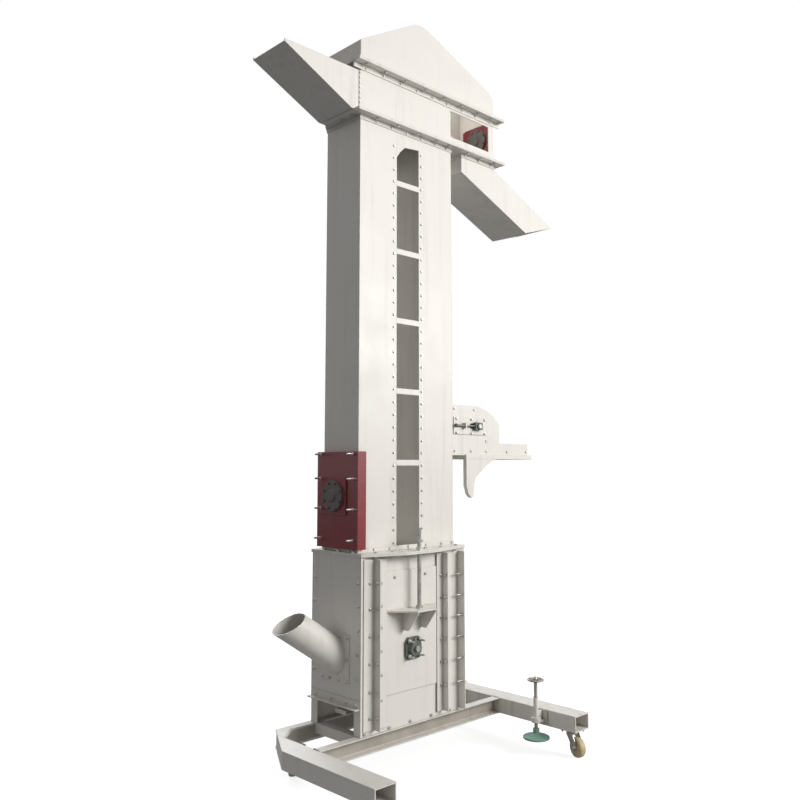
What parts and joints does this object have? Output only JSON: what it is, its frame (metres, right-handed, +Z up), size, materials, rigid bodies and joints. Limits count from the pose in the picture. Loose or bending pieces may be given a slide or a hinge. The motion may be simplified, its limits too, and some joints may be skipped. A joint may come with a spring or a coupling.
{
  "type": "bucket elevator",
  "caption": "Mobile belt bucket elevator with two box legs, slanted round inlet, screw take-up boot, hooded head with side chutes, side box and wheeled base frame.",
  "frame": {"origin": "on the floor under the middle of the legs", "axes": "+X across the legs to the right, +Y to the back, away from the take-up shown, +Z up"},
  "size_m": [2.135, 1.0343, 3.9815],
  "materials": {
    "ivory_paint": "satin ivory paint",
    "base_paint": "satin pale grey paint",
    "liner": "bare sheet",
    "red_paint": "gloss red paint",
    "green_paint": "gloss green paint",
    "dark_cast": "dark grey-green casting",
    "zinc": "zinc plated",
    "steel": "turned steel",
    "nylon": "moulded nylon",
    "belt_rubber": "matt",
    "drum_paint": "satin"
  },
  "bodies": {
    "root": {"front_rail": "base_paint", "back_rail": "base_paint", "left_outrigger": "base_paint", "right_outrigger": "base_paint", "cross_beams": "base_paint", "caster_plates": "zinc", "jack_tube": "zinc", "boot_front_panel": "ivory_paint", "boot_back_panel": "ivory_paint", "boot_left_panel": "ivory_paint", "boot_right_panel": "ivory_paint", "boot_pan": "liner", "boot_angles": "ivory_paint", "boot_flange": "ivory_paint", "inlet_pipe": "ivory_paint", "inlet_plate": "ivory_paint", "left_leg_casing": "ivory_paint", "right_leg_casing": "ivory_paint", "leg_inner_walls": "liner", "tie_strips": "ivory_paint", "trunk_flanges": "ivory_paint", "flange_bolts": "zinc", "red_cover": "red_paint", "cover_studs": "zinc", "port_discs": "dark_cast", "head_box": "ivory_paint", "head_hood": "ivory_paint", "left_chute": "ivory_paint", "right_chute": "ivory_paint", "red_port_plate": "red_paint", "head_bearings": "dark_cast", "belt": "belt_rubber", "buckets": "liner", "side_housing": "ivory_paint", "side_spout": "ivory_paint"},
    "takeup": {"takeup_plate_front": "ivory_paint", "takeup_plate_back": "ivory_paint", "takeup_bearings": "dark_cast", "takeup_rods": "steel"},
    "boot_rotor": {"boot_shaft": "steel", "boot_pulley": "drum_paint"},
    "nut_front": {"adjust_nut_front": "zinc"},
    "nut_back": {"adjust_nut_back": "zinc"},
    "head_rotor": {"head_shaft": "steel", "head_pulley": "drum_paint"},
    "jack_foot_body": {"jack_foot": "green_paint"},
    "jack_screw_body": {"jack_screw": "steel"},
    "gate": {"clean_out_gate": "liner"},
    "side_slide": {"side_bearings": "dark_cast"},
    "roller": {"side_roller": "steel"},
    "caster_1": {"caster_fork_1": "zinc"},
    "wheel_1": {"caster_wheel_1": "nylon"},
    "caster_2": {"caster_fork_2": "zinc"},
    "wheel_2": {"caster_wheel_2": "nylon"},
    "caster_3": {"caster_fork_3": "zinc"},
    "wheel_3": {"caster_wheel_3": "nylon"},
    "caster_4": {"caster_fork_4": "zinc"},
    "wheel_4": {"caster_wheel_4": "nylon"}
  },
  "joints": [
    {"name": "head_pulley_spin", "type": "hinge", "parent": "root", "child": "head_rotor", "pos_m": [-0.03, 0, 3.492], "axis": [0, 1, 0], "continuous": true},
    {"name": "takeup_slide", "type": "slide", "parent": "root", "child": "takeup", "axis": [0, 0, 1], "range_m": [0, 0.08]},
    {"name": "boot_pulley_spin", "type": "hinge", "parent": "takeup", "child": "boot_rotor", "pos_m": [-0.03, 0, 0.59], "axis": [0, 1, 0], "continuous": true},
    {"name": "adjust_nut_front_turn", "type": "hinge", "parent": "root", "child": "nut_front", "pos_m": [-0.03, -0.248, 1.078], "axis": [0, 0, -1], "range_deg": [0, 11520]},
    {"name": "adjust_nut_back_turn", "type": "hinge", "parent": "root", "child": "nut_back", "pos_m": [-0.03, 0.248, 1.078], "axis": [0, 0, -1], "range_deg": [0, 11520]},
    {"name": "jack_foot_slide", "type": "slide", "parent": "root", "child": "jack_foot_body", "axis": [0, 0, -1], "range_m": [-0.025, 0.075]},
    {"name": "jack_screw_turn", "type": "hinge", "parent": "jack_foot_body", "child": "jack_screw_body", "pos_m": [0.594, -0.495, 0.2], "axis": [0, 0, -1], "range_deg": [-1800, 5400]},
    {"name": "clean_out_slide", "type": "slide", "parent": "root", "child": "gate", "axis": [-1, 0, 0], "range_m": [0, 0.3]},
    {"name": "side_bearing_slide", "type": "slide", "parent": "root", "child": "side_slide", "axis": [1, 0, 0], "range_m": [-0.038, 0.038]},
    {"name": "side_roller_spin", "type": "hinge", "parent": "side_slide", "child": "roller", "pos_m": [0.583, 0, 1.734], "axis": [0, 1, 0], "continuous": true},
    {"name": "caster_1_swivel", "type": "hinge", "parent": "root", "child": "caster_1", "pos_m": [0.716, -0.64, 0.136], "axis": [0, 0, 1], "continuous": true},
    {"name": "wheel_1_roll", "type": "hinge", "parent": "caster_1", "child": "wheel_1", "pos_m": [0.70364, -0.67804, 0.05], "axis": [0.9511, -0.309, 0], "continuous": true},
    {"name": "caster_2_swivel", "type": "hinge", "parent": "root", "child": "caster_2", "pos_m": [-0.68, -0.65, 0.136], "axis": [0, 0, 1], "continuous": true},
    {"name": "wheel_2_roll", "type": "hinge", "parent": "caster_2", "child": "wheel_2", "pos_m": [-0.64723, -0.67294, 0.05], "axis": [0.5736, 0.8192, 0], "continuous": true},
    {"name": "caster_3_swivel", "type": "hinge", "parent": "root", "child": "caster_3", "pos_m": [0.708, 0.15, 0.136], "axis": [0, 0, 1], "continuous": true},
    {"name": "wheel_3_roll", "type": "hinge", "parent": "caster_3", "child": "wheel_3", "pos_m": [0.67736, 0.17571, 0.05], "axis": [-0.6428, -0.766, 0], "continuous": true},
    {"name": "caster_4_swivel", "type": "hinge", "parent": "root", "child": "caster_4", "pos_m": [-0.5, 0.175, 0.136], "axis": [0, 0, 1], "continuous": true},
    {"name": "wheel_4_roll", "type": "hinge", "parent": "caster_4", "child": "wheel_4", "pos_m": [-0.52, 0.14036, 0.05], "axis": [0.866, -0.5, 0], "continuous": true}
  ],
  "couplings": [
    {"joint": "boot_pulley_spin", "follows": "head_pulley_spin", "ratio": 1},
    {"joint": "adjust_nut_front_turn", "follows": "takeup_slide", "rad_per_m": 2513.3},
    {"joint": "adjust_nut_back_turn", "follows": "takeup_slide", "rad_per_m": 2513.3},
    {"joint": "jack_screw_turn", "follows": "jack_foot_slide", "rad_per_m": 1256.6}
  ]
}
